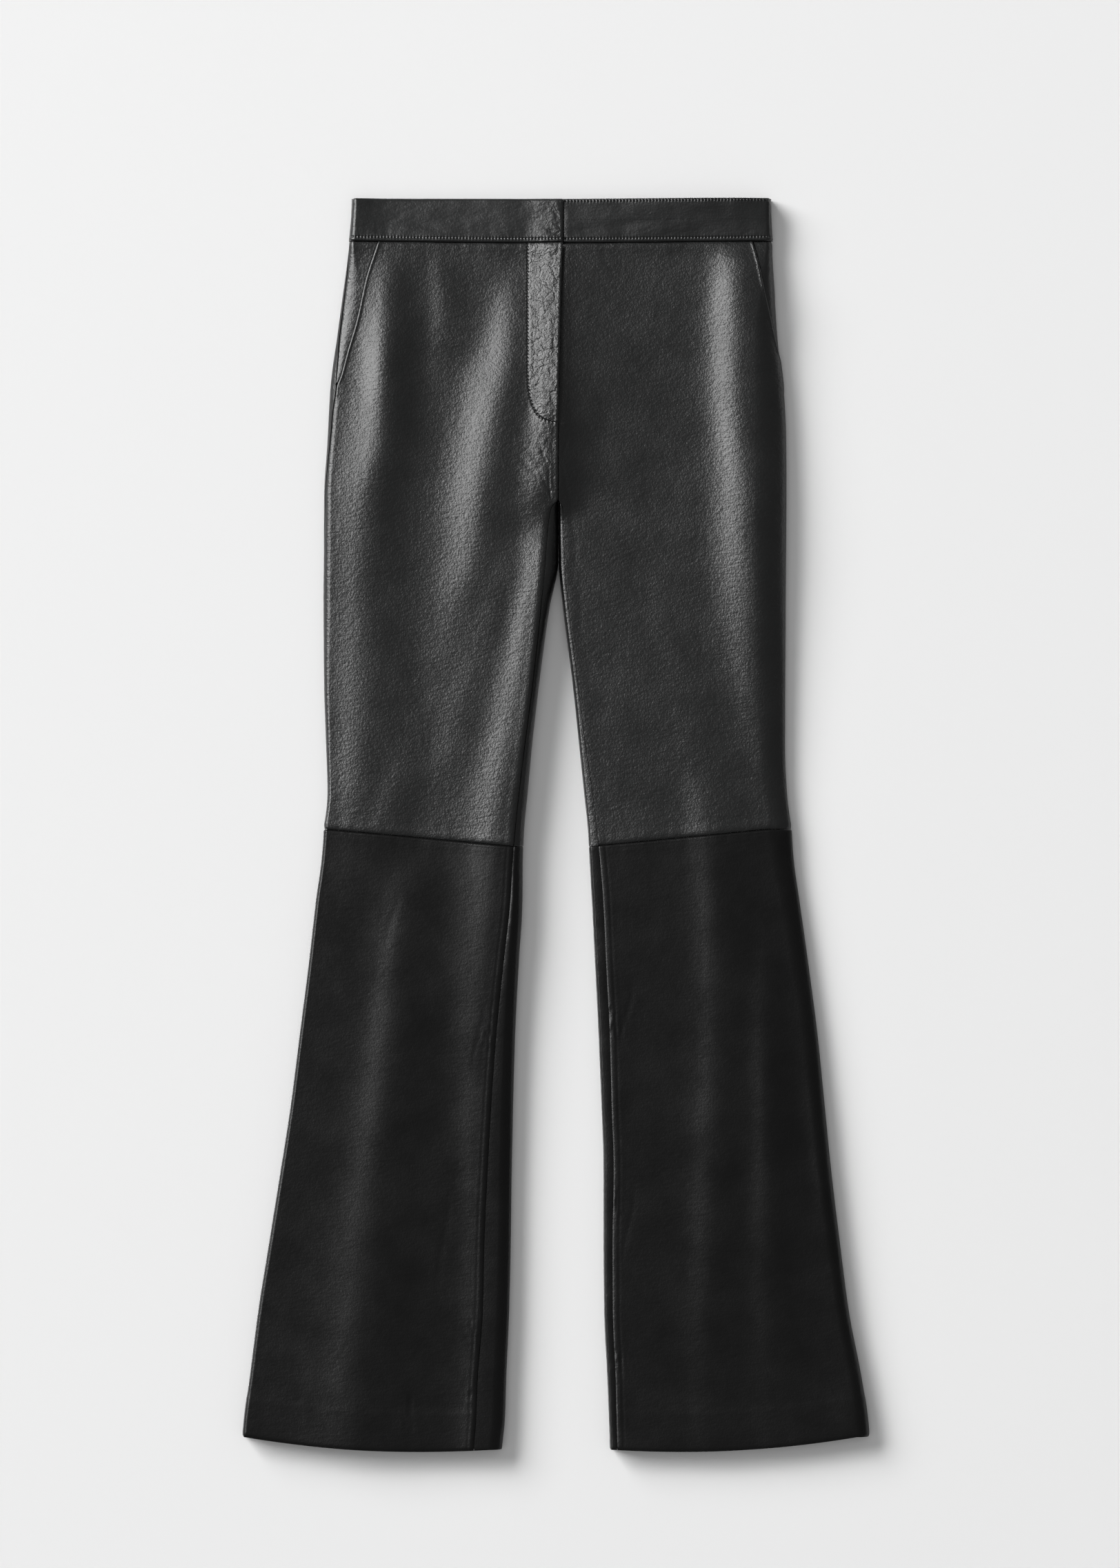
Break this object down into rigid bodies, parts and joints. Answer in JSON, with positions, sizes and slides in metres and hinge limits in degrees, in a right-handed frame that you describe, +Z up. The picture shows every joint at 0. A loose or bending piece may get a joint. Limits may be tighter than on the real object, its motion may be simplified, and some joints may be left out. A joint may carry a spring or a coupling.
{
  "type": "leather trousers",
  "caption": "Flared black leather trousers laid flat, front up, with a waistband, lapped fly, slanted pockets, knee seams and turned-up hems.",
  "frame": {"origin": "on the surface that the trousers lie on, under the middle of their length and width", "axes": "+X to the wearer's left, +Y from the hems to the waist, +Z up from the surface, out of the front of the trousers"},
  "size_m": [0.5373, 1.0736, 0.0219],
  "materials": {
    "smooth_leather": "pebbled, semi-matt black",
    "waistband_leather": "semi-matt black, edge-stitched",
    "zip_tape": "woven black tape",
    "hook_steel": "plain bright steel"
  },
  "bodies": {
    "root": {"front_right_thigh": "smooth_leather", "front_right_calf": "smooth_leather", "back_right_thigh": "smooth_leather", "back_right_calf": "smooth_leather", "pocket_facing_right": "smooth_leather", "waistband_front_right": "waistband_leather", "front_left_thigh": "smooth_leather", "front_left_calf": "smooth_leather", "back_left_thigh": "smooth_leather", "back_left_calf": "smooth_leather", "pocket_facing_left": "smooth_leather", "waistband_front_left": "waistband_leather", "waistband_back": "waistband_leather", "fly_zip": "zip_tape", "waist_hook": "hook_steel"}
  },
  "joints": []
}
